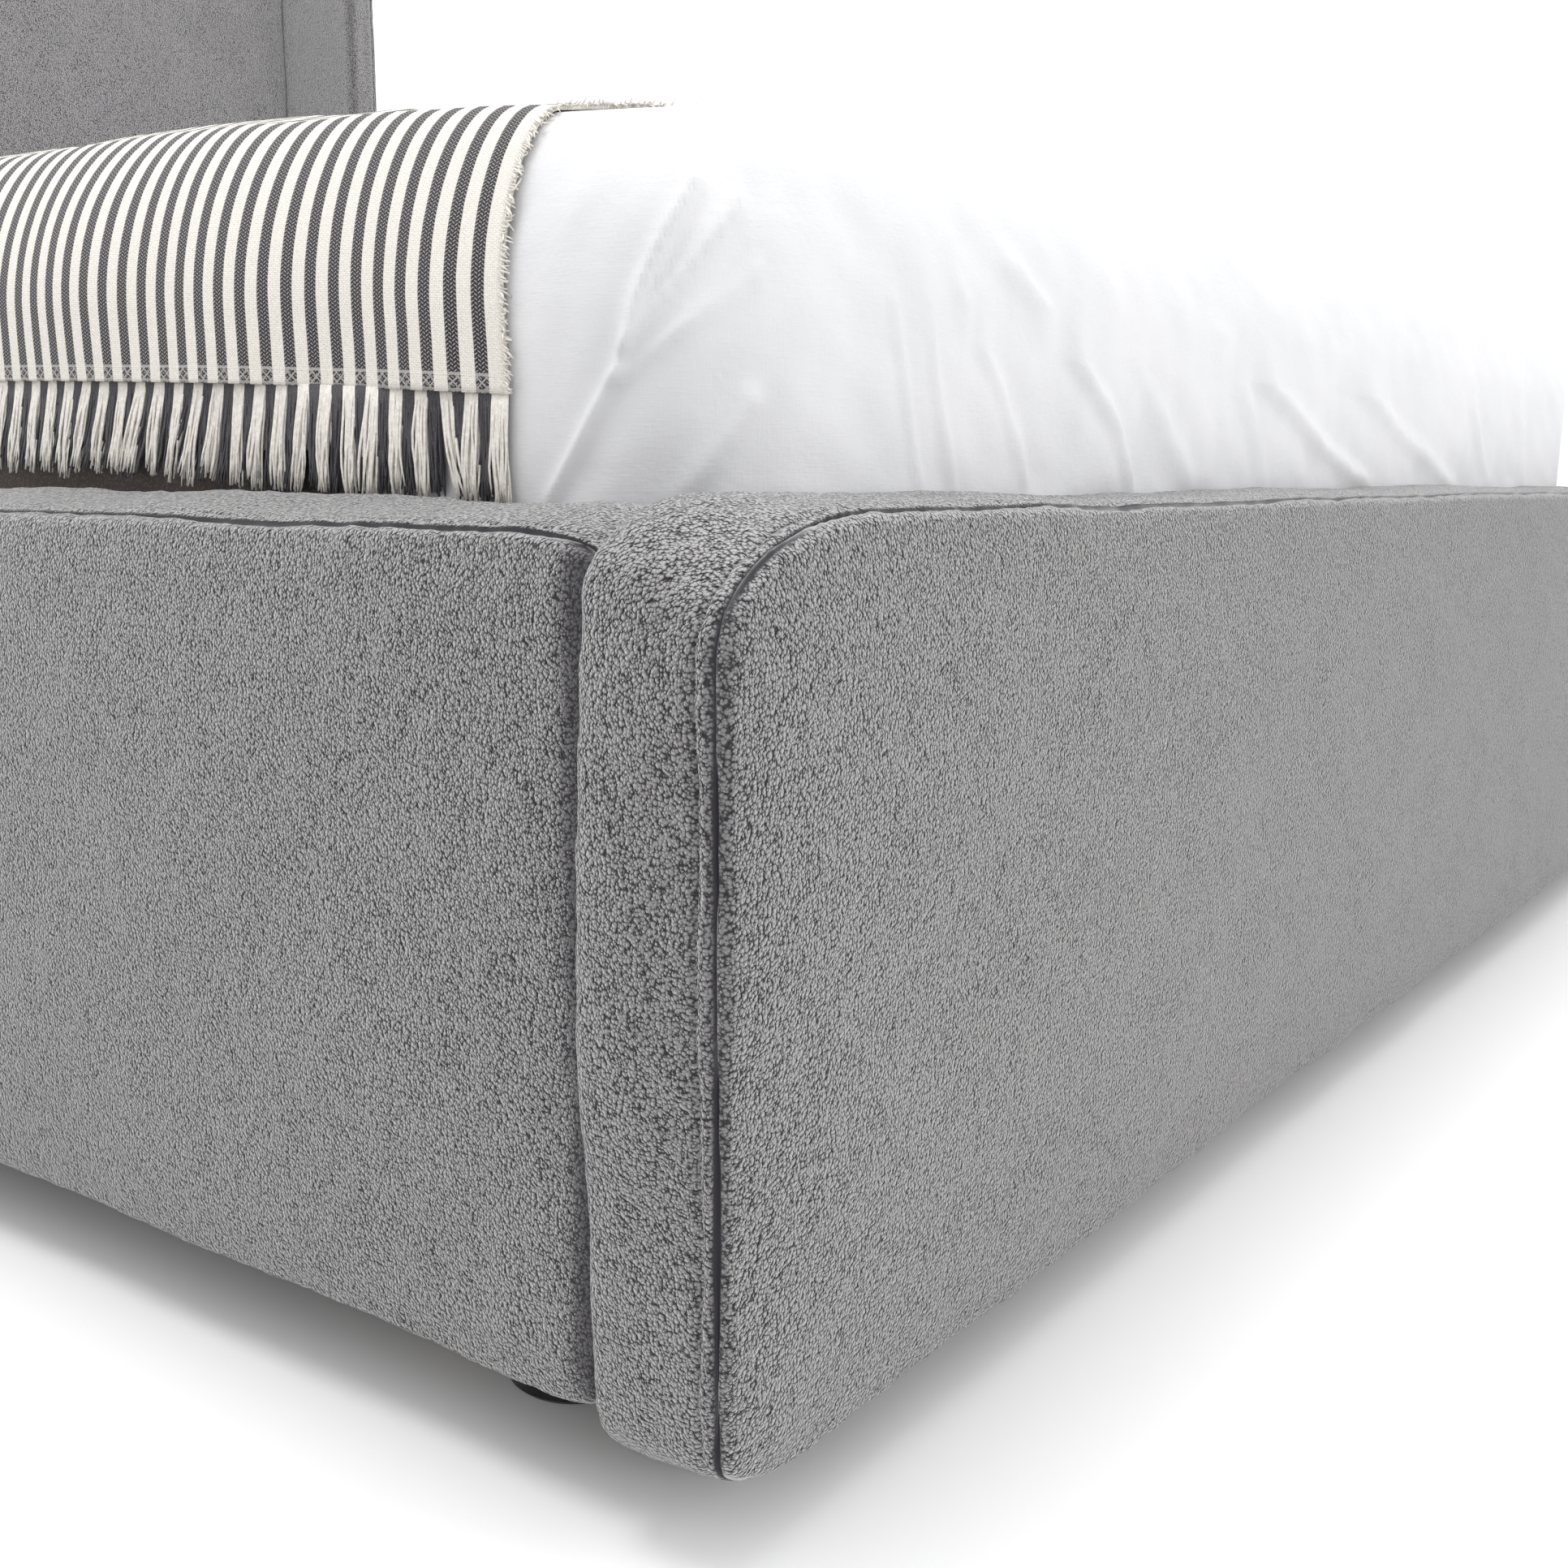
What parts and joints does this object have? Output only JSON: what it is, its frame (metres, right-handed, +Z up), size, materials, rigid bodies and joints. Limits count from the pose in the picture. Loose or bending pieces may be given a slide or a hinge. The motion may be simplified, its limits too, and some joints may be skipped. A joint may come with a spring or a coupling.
{
  "type": "upholstered bed",
  "caption": "Low upholstered bed with a padded winged headboard, padded rails and footboard, sprung slatted base, mattress, white sheet and fringed striped throw.",
  "frame": {"origin": "on the floor under the centre of the bed's outline", "axes": "+Y towards the headboard, +X to the right as seen from the foot, +Z up"},
  "size_m": [1.56, 2.16, 1.2],
  "materials": {
    "boucle_cloth": "looped boucle, matt",
    "foam_padding": "foam and wadding, hidden",
    "softwood_frame": "sawn softwood, hidden",
    "beech_slats": "laminated beech, lacquered",
    "black_plastic": "moulded, matt",
    "glide_plastic": "moulded, low gloss",
    "zinc_steel": "zinc plated",
    "black_steel": "black powder coat",
    "mattress_cloth": "taupe knitted border",
    "white_cotton": "smooth white cotton",
    "striped_wool": "cream with woven charcoal stripes",
    "fringe_yarn": "knotted cream and black yarn"
  },
  "bodies": {
    "bed": {"beam_hanger_foot": "black_steel", "beam_hanger_head": "black_steel", "centre_beam": "softwood_frame", "centre_leg_front": "black_steel", "centre_leg_rear": "black_steel", "corner_block_foot_left": "softwood_frame", "corner_block_foot_right": "softwood_frame", "corner_block_head_left": "softwood_frame", "corner_block_head_right": "softwood_frame", "corner_bolts": "zinc_steel", "corner_bracket_foot_left": "black_steel", "corner_bracket_foot_right": "black_steel", "corner_bracket_head_left": "black_steel", "corner_bracket_head_right": "black_steel", "fitted_sheet": "white_cotton", "footboard_core": "softwood_frame", "footboard_cover": "boucle_cloth", "footboard_glide_left": "glide_plastic", "footboard_glide_right": "glide_plastic", "footboard_padding": "foam_padding", "headboard_core": "softwood_frame", "headboard_cover": "boucle_cloth", "headboard_padding": "foam_padding", "ledge_screws": "zinc_steel", "leg_screws": "zinc_steel", "mattress": "mattress_cloth", "rail_glide_left_foot": "glide_plastic", "rail_glide_left_head": "glide_plastic", "rail_glide_right_foot": "glide_plastic", "rail_glide_right_head": "glide_plastic", "side_rail_left_core": "softwood_frame", "side_rail_left_cover": "boucle_cloth", "side_rail_left_padding": "foam_padding", "side_rail_right_core": "softwood_frame", "side_rail_right_cover": "boucle_cloth", "side_rail_right_padding": "foam_padding", "slat_caps_centre": "black_plastic", "slat_caps_left": "black_plastic", "slat_caps_right": "black_plastic", "slat_ledge_foot": "softwood_frame", "slat_ledge_head": "softwood_frame", "slat_ledge_left": "softwood_frame", "slat_ledge_right": "softwood_frame", "slats_left": "beech_slats", "slats_right": "beech_slats", "throw": "striped_wool", "throw_fringe_left": "fringe_yarn", "throw_fringe_right": "fringe_yarn", "wing_glide_left": "glide_plastic", "wing_glide_right": "glide_plastic", "wing_left_core": "softwood_frame", "wing_left_cover": "boucle_cloth", "wing_left_padding": "foam_padding", "wing_right_core": "softwood_frame", "wing_right_cover": "boucle_cloth", "wing_right_padding": "foam_padding"},
    "front_levelling_foot": {"levelling_foot_front": "zinc_steel"},
    "rear_levelling_foot": {"levelling_foot_rear": "zinc_steel"}
  },
  "joints": [
    {"name": "front_levelling", "type": "slide", "parent": "bed", "child": "front_levelling_foot", "axis": [0, 0, 1], "range_m": [0, 0.015]},
    {"name": "rear_levelling", "type": "slide", "parent": "bed", "child": "rear_levelling_foot", "axis": [0, 0, 1], "range_m": [0, 0.015]}
  ]
}
